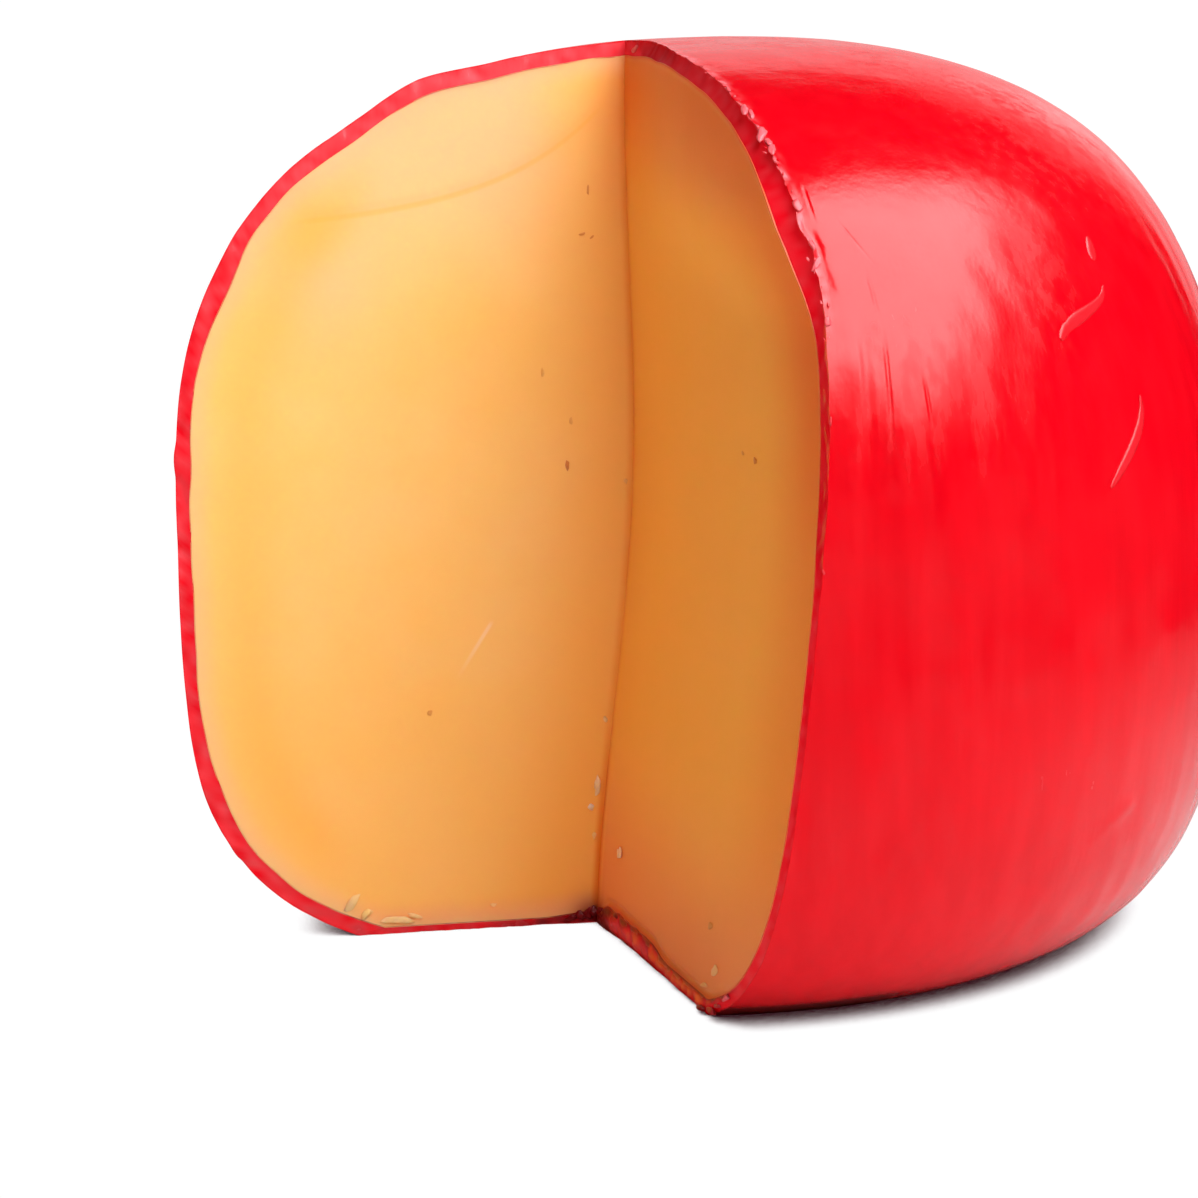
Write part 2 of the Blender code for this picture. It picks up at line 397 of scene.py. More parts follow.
def pressedPaste():
    # Semi-hard cheese, pressed and cut by a long blade: satin and faintly moist, clear enough to glow
    # at its edges, with a pale rind under the coat. The marks are drawn from distances in mm kept at
    # the mesh's points, each with a soft edge.
    made, tree, inputs, place, marks = newMaterial(
        "semi_hard_cheese_paste",
        ("rind", "crease", "rightFace", "arc", "arcShare", "scratchAcross", "scratchAlong", "smear",
         "amber", "cream", "blush", "pale", "stain"),
        IOR=1.40, Roughness=0.42, Subsurface_Weight=0.5, Subsurface_Radius=(1.0, 0.45, 0.16),
        Subsurface_Scale=2.4 * mm)
    level = addNode(tree, "SeparateXYZ", {0: place}).outputs["Z"]
    arc, across, beside = (maths(tree, "ABSOLUTE", value) for value in (
        marks["arc"], marks["scratchAcross"], maths(tree, "SUBTRACT", marks["crease"], 0.9)))
    reach = mapped(tree, marks["rightFace"], 0.0, 1.0, 3.6, 1.1)
    right = (marks["rightFace"],)
    curd = ramp(tree, noise(tree, place, 30 * mm, detail=4.0, roughness=0.55),
                (0.36, "#FBCE70"), (0.64, "#FCD482"))
    tone = painted(tree, curd, (
        # paler paste under the crown, painted paler still as light from above
        (marks["cream"], "#FCC992"),
        # amber: painted shade beside the crease and towards the base, and amber paste under the coat
        (marks["amber"], "#F9C058"),
        # the right face is painted a more orange copy of the paste, standing in for the warm light on that
        # face
        (marks["rightFace"], "#FABF50"),
        # painted red-orange bounced light beside the coat, the crease's top and the floor
        (marks["blush"], "#E86E20"),
        (softShare(tree, (level, 2 * mm, 34 * mm, 0.34, 0.0), right), "#F2B48A"),
        (softShare(tree, (marks["rind"], 0.4, reach, 0.5, 0.0), (*right, 0.0, 1.0, 1.0, 0.25)), "#F9C292"),
        # the knife's arc and a hair scratch, on the left face
        (softShare(tree, (arc, 0.12, 0.60, 0.40, 0.0), (marks["arcShare"],)), "#F6BA4A"),
        (softShare(tree, (across, 0.10, 0.42, 0.5, 0.0), (marks["scratchAlong"], -0.5, 0.8, 0.0, 1.0),
                   (marks["scratchAlong"], 2.0, 9.0, 1.0, 0.0)), "#FFE8C0"),
        # the crease, painted as a soft orange line of shade, and a paler line beside its foot
        (softShare(tree, (beside, 0.2, 0.8, 0.5, 0.0), (level, 14 * mm, 26 * mm, 1.0, 0.0), right),
         "#FBC468"),
        (softShare(tree, (marks["crease"], 0.1, 1.2, 1.0, 0.0), (level, 10 * mm, 30 * mm, 1.0, 0.45)),
         "#E88A1E"),
        # the right face's edge at the wax, painted red-orange as light glowing through from the coat
        (softShare(tree, (marks["rind"], 0.1, 0.6, 0.75, 0.0), right), "#F0582C"),
        (marks["smear"], "#7A1A14"),
        (marks["stain"], "#C8501E"),
        (marks["pale"], "#FFF0D2")))
    tree.links.new(tone, inputs["Base Color"])
    relief = addNode(tree, "Bump", {"Height": noise(tree, place, 1.4 * mm, detail=4.0), "Strength": 0.3,
                                    "Distance": 0.08 * mm})
    tree.links.new(relief.outputs[0], inputs["Normal"])
    return made


# What the wax and the paste under it share.
skin = {
    "thickness": 2.0 * mm,
    "thicknessChange": 0.20 * mm,       # a dipped coat is uneven, by ripples of these sizes
    "thicknessRipples": (17 * mm, 6.5 * mm),
    # two thick places of the left rim, in mm: one by distance from the crease, half width, extra, under
    # a height; one by height, half width, extra
    "thickOut": (30, 6, 0.45, 95),
    "thickUp": (88, 5, 0.5),
    "thinAtRight": 0.95 * mm,           # the coat at the right face, below thinTop
    "thinTop": 62,                      # height in mm
    "baseAtLeft": 1.05 * mm,            # the coat under the ball, thinner beside the left face
    "baseAtRight": 2.2 * mm,
    "baseLump": 1.3 * mm,               # extra at the right face, 5 to 27 mm from the crease
    "sideRows": 230,                    # rows from the crease's top to the base's edge
    "baseRows": 52,                     # rows from there to the crease's foot
    "overlap": 0.10 * mm,               # the paste reaches this far into the wax, so that no gap shows
    "blend": math.radians(25),          # turn over which what belongs to a cut face dies away
    "bladeBulge": 3.1 * mm,             # how far the right cut strayed out, high up towards its rim
    "bladeTop": 105,                    # height in mm above which it is full
    # marks of the press beside the left face: distance from the crease, half width and rise, in mm
    "press": ((28, 5, 0.85), (39, 4.5, -0.35)),
}


def baseThickness(turns):
    # even change from the right face to the left one
    share = (turns - cut["right"]) / (cut["left"] - cut["right"])
    return skin["baseAtRight"] + (skin["baseAtLeft"] - skin["baseAtRight"]) * share


def distanceFromCrease(turn, points):
    # undoes fromCrease: how far along the cut a point lies, by projection on the line that leaves the
    # crease at the point's height
    origin = fromCrease(turn, np.zeros(points.shape[:-1]), points[..., 2])
    way = (fromCrease(turn, np.full(points.shape[:-1], cut["reach"]), points[..., 2]) - origin) / cut["reach"]
    return ((points - origin) * way).sum(axis=-1) / (way * way).sum(axis=-1)


def eastOf(turn):
    # level unit vector square to direction turn, towards greater turns
    return np.stack([-np.sin(turn), np.cos(turn), np.zeros_like(turn)], axis=-1)


def intoBall(side):
    # the same for a cut face, from the cut-out into the ball
    return eastOf(cut[side]) * (1 if side == "right" else -1)


def bladeStray(along, height):
    # how far the right cut face stands out from its plane: a smooth step up to bladeTop times a smooth
    # step out to 36 mm from the crease
    return skin["bladeBulge"] * fade(skin["bladeTop"] - height / mm, 18) * fade(36 - along / mm, 36)


def ballShift(points, turns, along):
    # How far the ball stands proud of its fitted form: slow swells all over, and beside the left face
    # the flats and the ridge left by the press, by distance from the crease. Nothing moves at the base.
    height, s = points[..., 2] / mm, along / mm
    beside = fade(cut["left"] - turns, skin["blend"]) * fade(95 - height, 12)
    shift = 0.12 * ripple(points, 46 * mm, 3) + 0.05 * ripple(points, 21 * mm, 5) - 0.10
    pressed = sum(rise * bump(s - middle, width) for middle, width, rise in skin["press"])
    shift += beside * (pressed - 0.15 * fade(s - 18, 6))
    return shift * mm * fade(12 - height, 12)


def coatDepth(points, turns, along):
    # thickness of the coat: even, give or take two sizes of ripple, thicker in two places of the left
    # rim, and thin in the lower part of the right one
    height, s = points[..., 2] / mm, along / mm
    left = fade(cut["left"] - turns, skin["blend"])
    right = fade(turns - cut["right"], skin["blend"]) * fade(height - skin["thinTop"] + 6, 12)
    change = sum(0.6 * ripple(points, size, 11 + i) for i, size in enumerate(skin["thicknessRipples"]))
    depth = skin["thickness"] + skin["thicknessChange"] * change
    (far, farWidth, farExtra, top), (high, highWidth, highExtra) = skin["thickOut"], skin["thickUp"]
    depth += left * mm * (farExtra * bump(s - far, farWidth) * fade(top - height, 8)
                          + highExtra * bump(height - high, highWidth))
    return depth + (skin["thinAtRight"] - depth) * 0.9 * right


def moved(place, turns, along, distance):
    # points moved along the ball's normals by a distance, and, near the right face, round with the
    # stray of the blade, square to the normal
    normal = outward(place)
    stray = bladeStray(along, place[..., 2]) * fade(turns - cut["right"], 1.4 * skin["blend"])
    sideways = -eastOf(turns) * np.ones_like(place)
    sideways -= (sideways * normal).sum(axis=-1, keepdims=True) * normal
    return place + distance[..., None] * normal + stray[..., None] * sideways


def innerSurface(turns, overlap):
    # the boundary of wax and paste: the ball's form moved in by the even thickness, then by what the
    # thickness changes and by the ball's own shift
    place, along, height = fanSurface(turns, skin["sideRows"], skin["baseRows"], skin["thickness"] - overlap,
                                      baseThickness(turns) - overlap)
    move = ballShift(place, turns, along) - coatDepth(place, turns, along) + skin["thickness"]
    move[skin["sideRows"]:] = 0
    move *= fade(8 - height / mm, 8)
    place = moved(place, turns, along, move)
    # the two sides' different levels meet half way at the crease's foot
    base, s = place[skin["sideRows"]:], along[skin["sideRows"]:] / mm
    meeting = (skin["baseAtLeft"] + skin["baseAtRight"]) / 2 - overlap
    base[..., 2] += (meeting - base[..., 2]) * fade(s, 8)
    lump = fade(5 - s, 5) * fade(s - 21, 10) * fade(turns - cut["right"], math.radians(20))
    base[..., 2] += skin["baseLump"] * lump * (1 + 0.25 * ripple(base, 3 * mm, 13))
    return place


# The coat.
coat = {
    "columns": 268,
    # room between the columns: at a rim, its growth per degree, beside the cut-out, and round the back
    "room": (0.25, 0.12, 0.80, 1.6),
    "roomSaved": (0.38, 30, 9),         # less by this, so many degrees from the right rim, half width
    "liningColumns": 36,
    "rimColumns": 9,
    "lipRight": 2.3 * mm,               # how far the blade tore the outer edge back, at each cut
    "lipLeft": 0.30 * mm,
    "lipChange": 0.35 * mm,
    "lipFade": 5.0 * mm,
    "lipFoot": 101,                     # height in mm under which the tear dies away
    "burr": 0.26,                       # the torn edge's little ridge, height and width in mm
    "burrWidth": 0.55,
    "burrLeft": 0.35,                   # a few burrs along the left cut, in mm
    "roll": 0.60 * mm,                  # the coat rolls out of the cut along the base of the right face
    # relief in mm: fine unevenness left by the dip, waves where the wax ran down, swells (azimuth in
    # degrees, height in mm, half width, half height and size in mm), and ridges (size and width in mm,
    # then the path, as azimuth and height)
    "girth": 1.11,                      # mm of skin in one degree of azimuth, high up
    "sway": 0.03,
    "flow": 0.06,
    "swells": ((-82.5, 76, 3.2, 5.5, 0.28), (-55.0, 99.5, 2.6, 3.2, 0.22), (-70, 40, 9, 16, 0.15)),
    "ridges": ((0.26, 0.95, ((-54.4, 24.9), (-56.6, 23.8), (-58.3, 22.4))),),
    # patches where handling dulled the gloss: azimuth, height, half width in degrees, half height, strength
    "scuffs": ((-80, 81, 12, 10, 0.55), (-63, 93, 7, 11, 0.6), (-74, 70, 14, 7, 0.15), (-84, 62, 9, 9, 0.15),
               (-40, 108, 16, 9, 0.7), (-70, 30, 26, 16, 0.15), (40, 70, 30, 26, 0.6), (120, 86, 34, 20, 0.5),
               (95, 40, 30, 22, 0.4)),
    "scuffEverywhere": 0.10,
}


def coatTurns(turn):
    # room between the columns: the least of what grows evenly from each rim and of what the side has,
    # which is finer at the ridge
    fromRight, fromLeft = np.degrees(turn - cut["right"]), np.degrees(cut["left"] - turn)
    atRim, growth, beside, behind = coat["room"]
    saved, middle, width = coat["roomSaved"]
    side = np.where(fromRight < 70, beside, behind) - saved * bump(fromRight - middle, width)
    return np.minimum(atRim + growth * np.minimum(fromRight, fromLeft), side)


def skinMap(points):
    # azimuth in degrees, height in mm, and the two as a flat map in mm for distances along the skin
    girth = coat["girth"]
    azimuth, height = np.degrees(np.arctan2(points[..., 1], points[..., 0])), points[..., 2] / mm
    return azimuth, height, lambda path: alongPath(azimuth * girth, height, [(a * girth, z) for a, z in path])


def coatRelief(points):
    # what stands on the skin, in mm: ripple, upright waves, swells, and ridges, each a bell curve of the
    # distance from its middle or its path, thinning out towards the path's end
    azimuth, height, fromPath = skinMap(points)
    relief = coat["sway"] * (ripple(points, 9 * mm, 21) + 0.4 * ripple(points, 4 * mm, 22))
    relief += coat["flow"] * ripple(points * np.array([1, 1, 0.14]), 4.6 * mm, 23) * fade(height - 94, 10)
    for a, z, across, up, size in coat["swells"]:
        relief += size * bump(np.hypot((azimuth - a) * coat["girth"] / across, (height - z) / up), 1)
    for size, width, path in coat["ridges"]:
        distance, gone = fromPath(path)
        relief += size * bump(distance, width) * (1 - 0.6 * gone)
    return relief


def scuffAt(points):
    # strongest of the dulled patches, each a bell curve in azimuth and height
    azimuth, height, _ = skinMap(points)
    patches = [strength * np.exp(-((azimuth - a) / across) ** 2 - ((height - z) / up) ** 2)
               for a, z, across, up, strength in coat["scuffs"]]
    return coat["scuffEverywhere"] + np.max(patches, axis=0)


def nearTop(z):
    # smooth step from 0 at 111 mm up to 1 at 117
    return fade(117 - z, 6)


def tornLips(place, s, z, torn):
    # how far each rim's outer edge is torn back: a length with two sizes of ripple, for the right one
    # shorter where it isn't torn and at the crown, and none at the crease
    def lip(points, size):
        tear = ripple(points, 6 * mm, 31) + 0.6 * ripple(points, 3 * mm, 32)
        return np.maximum(size + coat["lipChange"] * tear * min(1, size / (0.6 * mm)), 0.05 * mm)
    atCrown = fade(116 - z[:, :1], 12)
    right = lip(place[:, :1], coat["lipRight"]) * (0.2 + 0.8 * torn[:, :1]) * (1 - 0.6 * atCrown)
    left = lip(place[:, -1:], coat["lipLeft"]) + 0.10 * mm * ripple(place[:, -1:], 1.3 * mm, 40)
    return {"right": right * fade(12 - s[:, :1], 10), "left": left * fade(12 - s[:, :1], 10)}


def rimMarks(side, place, share, s, z):
    # A rim's roughness, as a depth into the ball, and its marks, from the share of the way in through the
    # coat and the distances in mm from the crease and the floor. mottle makes all of them patchy.
    rough = 0.09 * mm * ripple(place, 2.8 * mm, 33) + 0.04 * mm * ripple(place, 1.6 * mm, 34)
    rough *= 0.15 + 0.85 * fade(z - 106, 8)
    mottle, base = ripple(place, 2.2 * mm, 38), fade(z - 2, 4)
    if side == "left":
        # the left rim is darker along the floor, most beside the crease's foot, and paler in patches and
        # towards the top
        grimy = 0.8 * fade(s - 3, 17) + 0.2 * mottle
        worn = np.clip(0.11 + 0.10 * mottle + 0.10 * fade(112 - z, 30), 0, 0.5)
        return rough, {"grimy": base * np.clip(grimy, 0, 1), "worn": worn}
    # along the base the coat bulges out in a lumpy roll, painted dark as shade at the crease's foot, along
    # its upper edge and, near the crease, along its lower edge, with a painted highlight along its middle and
    # paste smeared over it further out
    rough -= coat["roll"] * base * fade(3 - s, 3) * fade(s - 50, 4) * (1 + 0.45 * mottle)
    grimy = (fade(s - 4, 5) + bump(share - 0.98, 0.2) * (0.85 + 0.4 * mottle)
             + 0.8 * bump(share, 0.16) * fade(s - 20, 12) + 0.3 * mottle)
    smear = (0.9 + 0.5 * mottle) * fade(27 - s, 4) * fade(s - 42, 4) + 0.7 * bump(s - 17.5, 1.4)
    worn = base * 0.3 * bump(share - 0.5, 0.2) * fade(5 - s, 3) * fade(s - 20, 6)
    worn += (1 - base) * np.clip(0.04 + 0.06 * mottle + 0.08 * nearTop(z), 0, 0.4)
    return rough, {"grimy": base * np.clip(grimy, 0, 1), "worn": worn,
                   "smeared": base * bump(share - 0.66, 0.2) * np.clip(smear, 0, 0.9)}


def waxShell(material):
    # The coat: an outer skin, a lining, and a rim along each cut that joins them from the crease's top
    # round to its foot. The rims' outer edges are torn back along the skin, and the right one stands up
    # in a burr. Gives the right rim's outer edge.
    store = newStore()
    turns = spacedTurns(coat["columns"], coatTurns)
    place, along, height = fanSurface(turns, skin["sideRows"], skin["baseRows"], 0.0, 0.0)
    s, z = along / mm, height / mm
    fromRight, fromLeft = along * (turns - cut["right"]), along * (cut["left"] - turns)
    torn = fade(coat["lipFoot"] - z, 15) * fade(12 - s, 10)
    burr = coat["burr"] * bump(fromRight / mm, coat["burrWidth"]) * np.clip(
        1 + 0.8 * ripple(place, 2.8 * mm, 35) + 0.5 * ripple(place, 1.7 * mm, 36), 0, 2.2)
    burrs = coat["burrLeft"] * bump(fromLeft / mm, 0.8) * np.clip(ripple(place, 5 * mm, 39) - 0.75, 0, 1)
    raised = coatRelief(place) + (burr * torn + burrs * fade(4 - z, 3)) * (1 - 0.75 * nearTop(z))
    move = ballShift(place, turns, along) + raised * mm * fade(9 - z, 6)
    move[skin["sideRows"]:] = 0
    place = moved(place, turns, along, move)
    lips = tornLips(place, s, z, torn)
    slide = lips["right"] * fade(fromRight, coat["lipFade"]) - lips["left"] * fade(fromLeft, coat["lipFade"])
    skinPlace = place + slide[..., None] * eastOf(turns)[None]
    azimuth, level, _ = skinMap(place)
    # pale torn wax along the burr, which also paints the burr's pink highlight line
    tornPaleAndSheen = bump(fromRight / mm, 1.0) * torn * (0.2 + 0.55 * ripple(place, 1.6 * mm, 37))
    # the skin's foot, below about 3 mm and round the front, is painted dark maroon as the shade under the
    # ball
    outer = addPoints(store, skinPlace, scuff=scuffAt(place), worn=np.clip(tornPaleAndSheen, 0, 0.8),
                      grimy=fade(level - 2.2, 1.4) * fade(np.abs(azimuth + 92) - 9, 9))
    inside = innerSurface(spacedTurns(coat["liningColumns"], np.ones_like), 0.0)
    # the lining's edge, which shows at the rims, is painted dark below 3 to 5 mm: painted shade in the groove
    # over the rolled coat and at the foot
    inner = addPoints(store, inside, grimy=0.8 * fade(inside[..., 2] / mm - 3, 2))
    addSkin(store, closedEnds(outer))
    addSkin(store, closedEnds(inner), turned=True)

    share = np.linspace(0, 1, coat["rimColumns"] + 2)[None, 1:-1]
    rims = {}
    for side, edge in (("right", 0), ("left", -1)):
        s, z = along[:, [edge]] / mm, height[:, [edge]] / mm
        flush = place[:, edge, None] * (1 - share[..., None]) + inside[:, edge, None] * share[..., None]
        rough, marks = rimMarks(side, flush, share, s, z)
        shift = lips[side] * (1 - share ** 1.6) + rough * np.sin(math.pi * share)
        between = addPoints(store, flush + shift[..., None] * intoBall(side), cut=1.0, **marks)
        if side == "left":
            between[0], between[-1] = rims["right"][0, 1:-1], rims["right"][-1, 1:-1]
        rims[side] = np.concatenate([outer[:, [edge]], between, inner[:, [edge]]], axis=1)
        addSkin(store, rims[side], turned=side == "right")
    piece = buildPiece(store, "wax_shell", material, sharpAngle=50)
    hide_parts("wax_coat")
    return skinPlace[:, 0]


paste = {
    "columns": 40,
    "faceColumns": 110,
    "recess": 0.10 * mm,                # the cut paste stands this far below the wax's rim
    "sway": 0.09 * mm,                  # the blade's slow wander
    "groove": 0.45 * mm,                # depth of the gap over the rolled wax, along the right face's base
    # on the left face: distance from the crease and height in mm
    "knifeArc": (95.6, 18.0, 14.0),     # level far out, rise at the crease, and the way that it dies away in
    "knifeStep": 0.14 * mm,             # the paste above the arc stands this much prouder
    "scratch": ((17.7, 41.4), (22.5, 32.6)),
}
farOff = 50.0                           # a distance in mm at which no mark is drawn


def faceValues(side, s, z, rindDistance):
    # what the paste's material reads at the points of a cut face, from the distances from the crease (s),
    # the floor (z) and the coat, in mm
    left = side == "left"
    level, rise, length = paste["knifeArc"]
    start, end = np.array(paste["scratch"])
    way = unit(end - start)
    # riper, amber paste 8 mm under the coat, and amber painted shade beside the crease and towards the base;
    # under the crown the paste is paler, and painted paler still as light from above; painted red-orange
    # bounced light on the right face beside the coat and under the crown, and on the left face at the
    # crease's top and along the floor
    amber = 0.7 * fade(s - 2, 16) + 0.45 * fade(z, 60) + 0.5 * bump(rindDistance - 7, 4) * fade(40 - s, 8)
    amber += 0.4 * bump(np.hypot(s - 44, z - 96), 5)
    cream = 0.9 * fade(108 - z, 26) * fade(14 - s, 14) + 0.6 * bump(np.hypot(s - 42, z - 88), 9)
    if left:
        blush = 0.38 * fade(s, 7) * fade(112 - z, 26) + 0.3 * fade(z - 1, 4)
    else:
        blush = fade(rindDistance - 1, 22) * (0.48 + 0.46 * bump(z - 86, 22)) + 0.22 * fade(114 - z, 16)
    return {"rind": rindDistance, "crease": s, "rightFace": 0.0 if left else 1.0,
            "arc": z - level - rise * np.exp(-s / length) if left else farOff,
            "arcShare": fade(s - 42, 4) * fade(5 - s, 3),
            "scratchAcross": (s - start[0]) * way[1] - (z - start[1]) * way[0] if left else farOff,
            "scratchAlong": (s - start[0]) * way[0] + (z - start[1]) * way[1],
            "smear": bump(np.hypot(0.8 * s, z - 0.8), 2.6), "amber": np.clip(amber, 0, 1), "cream": cream,
            "blush": np.clip(blush, 0, 1)}


def cutFace(store, side, rimNumbers, rim, creaseHeight, creaseNumbers):
    # One cut face, ruled with straight rows from the rim to the crease. Each row's points lie on the
    # blade's surface, moved square to it by the recess, the wander and the knife's marks. They are a
    # little closer together at both ends, by a cosine.
    turn = cut[side]
    rimAlong = distanceFromCrease(turn, rim)
    share = np.linspace(0, 1, paste["faceColumns"] + 2)[1:-1]
    share = (0.55 * share + 0.45 * (1 - np.cos(math.pi * share)) / 2)[None]
    along = rimAlong[:, None] * (1 - share)
    height = rim[:, 2:] * (1 - share) + creaseHeight[:, None] * share
    place = fromCrease(turn, along, height)
    inward = intoBall(side)
    if side == "right":
        place = place - bladeStray(along, height)[..., None] * inward
    s, z = along / mm, height / mm
    rindDistance, _ = alongPath(s, z, np.stack([rimAlong, rim[:, 2]], axis=1)[::3] / mm)
    values = faceValues(side, s, z, rindDistance)
    sink = paste["recess"] + paste["sway"] * (ripple(place, 34 * mm, 41) + 0.35 * ripple(place, 12 * mm, 42))
    if side == "left":
        step = np.clip(values["arc"] / 1.4, 0, 1) * fade(values["arc"] - 6, 12) * values["arcShare"]
        sink = sink - paste["knifeStep"] * step
    else:
        gap = bump(rindDistance - 0.5, 0.55) * fade(6 - s, 4) * fade(z - 4.5, 1.5)
        sink = sink + paste["groove"] * gap
    sink = sink * fade(2.5 - s, 2.5) * fade(1.0 - rindDistance, 1.0) ** 0.3
    place = place + sink[..., None] * inward
    middle = addPoints(store, place, **values)
    middle[0], middle[-1] = creaseNumbers[0], creaseNumbers[-1]
    grid = np.concatenate([rimNumbers[:, None], middle, creaseNumbers[:, None]], axis=1)
    addSkin(store, grid, turned=side == "right")


def cheesePaste(material):
    # The paste: its uncut side, just inside the wax's lining, and the two cut faces, which share the
    # crease. The crease's points are shared out like the rim's, by length.
    store = newStore()
    turns = spacedTurns(paste["columns"], np.ones_like)
    place = innerSurface(turns, skin["overlap"])
    atRight = fade(turns - cut["right"], 0.1)
    outer = addPoints(store, place, crease=farOff, arc=farOff, scratchAcross=farOff, amber=0.5, blush=atRight,
                      rightFace=atRight)
    addSkin(store, closedEnds(outer))
    rim = place[:, 0]
    length = lengthTo(rim)
    height = rim[0, 2] + (rim[-1, 2] - rim[0, 2]) * length / length[-1]
    line = fromCrease(0.0, np.zeros_like(height), height)
    numbers = addPoints(store, line, **{**faceValues("left", 0 * height, height / mm, 9.0), "rightFace": 0.5})
    numbers[0], numbers[-1] = outer[0, 0], outer[-1, 0]
    for side, edge in (("right", 0), ("left", -1)):
        cutFace(store, side, outer[:, edge], place[:, edge], height, numbers)
    piece = buildPiece(store, "cheese_paste", material, sharpAngle=60)
    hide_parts("cheese")


def addCrumbs(store, centres, axes, seed, uneven, rows=9, columns=13, **values):
    # Many small lumps: a sphere's grid for each, its radius uneven by that share, stretched along the
    # three half axes (rows of axes, turned about where they are left-handed) and set on its centre.
    # Rows run from pole to pole, columns round. Each lump meets another part of the ripple.
    axes = axes * np.sign(np.linalg.det(axes / mm))[:, None, None]
    up, around = np.linspace(0, math.pi, rows)[:, None], np.linspace(0, 2 * math.pi, columns)[None]
    sphere = np.stack(np.broadcast_arrays(np.sin(up) * np.cos(around), np.sin(up) * np.sin(around),
                                          np.cos(up) + 0 * around), axis=-1)
    shifted = sphere + np.arange(len(centres))[:, None, None, None] * 7.3
    radius = 1 + uneven * (ripple(shifted, 1.6, seed) + 0.5 * ripple(shifted, 0.9, seed + 1))
    points = centres[:, None, None] + (radius[..., None] * sphere) @ axes[:, None]
    values = {name: np.reshape(value, (-1, 1, 1)) for name, value in values.items()}
    numbers = addPoints(store, points, **values)
    numbers[:, 0], numbers[:, -1] = numbers[:, 0, :1], numbers[:, -1, :1]
    numbers[:, :, -1] = numbers[:, :, 0]
    addSkin(store, numbers)


def onFace(side, s, z, lift=0.0):
    # the place on a cut face, from the distances in mm from the crease and the floor, lifted off it, and
    # the face's own axes: along, up and out
    turn, s, z = cut[side], np.asarray(s, dtype=float) * mm, np.asarray(z, dtype=float) * mm
    out = -intoBall(side)
    place = fromCrease(turn, s, z)
    if side == "right":
        place = place + bladeStray(s, z)[..., None] * out
    axes = np.stack([[math.cos(turn), math.sin(turn), 0], [0, 0, 1], out])
    return place + np.asarray(lift)[..., None] * mm * out, axes


# Loose bits: face, distances from the crease and the floor, half length along, half height and half
# depth in mm, lean in degrees, tint.
crumbs = {
    "pale": (
        ("left", 1.2, 18.4, 0.42, 1.35, 0.30, 4, 0.55), ("left", 1.75, 15.7, 0.42, 0.36, 0.30, 0, 0.8),
        ("right", 8.5, 11.4, 0.85, 0.80, 0.22, 0, 0.6), ("left", 33.7, 4.5, 1.5, 0.60, 0.20, -50, 0.32),
        ("left", 31.7, 2.9, 1.1, 0.50, 0.18, -38, 0.22), ("left", 28.0, 1.9, 2.0, 0.42, 0.20, 5, 0.34),
        ("left", 25.2, 2.3, 0.9, 0.30, 0.14, 12, 0.28), ("right", 48.6, 6.4, 1.4, 0.50, 0.16, 35, 0.28),
        ("right", 45.0, 3.7, 1.2, 0.35, 0.14, 12, 0.2), ("left", 1.0, 11.8, 0.25, 0.5, 0.2, 0, 0.2),
        ("left", 14.4, 3.2, 0.4, 0.25, 0.15, 0, 0.25), ("left", 1.0, 27.5, 0.25, 0.4, 0.15, 0, 0.2),
        ("left", 0.9, 59.5, 0.25, 0.35, 0.12, 0, 0.15)),
    # specks of coat that the blade drew over the faces
    "specks": (
        ("left", 5.2, 98.9, 0.16, 0.75, 0.05, 2, 0.5), ("left", 6.2, 93.0, 0.45, 0.18, 0.05, -10, 0.5),
        ("left", 4.9, 92.5, 0.35, 0.17, 0.05, -35, 0.5), ("left", 12.1, 74.6, 0.20, 0.55, 0.04, 0, 0.12),
        ("left", 8.4, 68.0, 0.20, 0.50, 0.04, 0, 0.25), ("left", 8.75, 62.0, 0.26, 0.62, 0.05, 3, 0.65),
        ("left", 25.0, 29.6, 0.30, 0.40, 0.04, 0, 0.35), ("right", 53.9, 70.8, 0.55, 0.42, 0.05, 0, 0.6),
        ("right", 49.0, 71.0, 0.45, 0.30, 0.04, 0, 0.3), ("right", 46.0, 11.4, 0.9, 0.45, 0.04, 20, 0.3)),
    # bits of wax: at the crease's foot, on the right face's base and at its far corner
    "wax": (
        ("left", 3.4, 0.8, 0.9, 0.4, 0.35, 0, 0), ("left", 2.2, 1.1, 0.6, 0.6, 0.4, 0, 0),
        ("left", 1.2, 1.3, 0.6, 0.8, 0.4, 10, 0), ("left", 0.4, 1.5, 0.6, 0.7, 0.5, 0, 0),
        ("right", 1.6, 1.8, 1.0, 0.7, 0.45, 0, 0), ("right", 3.4, 1.7, 1.1, 0.6, 0.4, -8, 0),
        ("right", 5.2, 2.4, 1.0, 0.45, 0.35, 0, 0), ("right", 9.0, 3.1, 1.1, 0.35, 0.35, 0, 0),
        ("right", 44.6, 0.7, 1.2, 0.40, 0.5, 0, 0.1), ("right", 48.4, 1.3, 1.3, 0.5, 0.5, 0, 0.35),
        ("right", 53.4, 4.3, 0.9, 0.35, 0.4, 30, 0.8), ("right", 50.6, 2.6, 1.0, 0.30, 0.4, 15, 0.45),
        ("right", 5.0, 117.9, 1.1, 0.28, 0.3, 25, 0.75)),
}


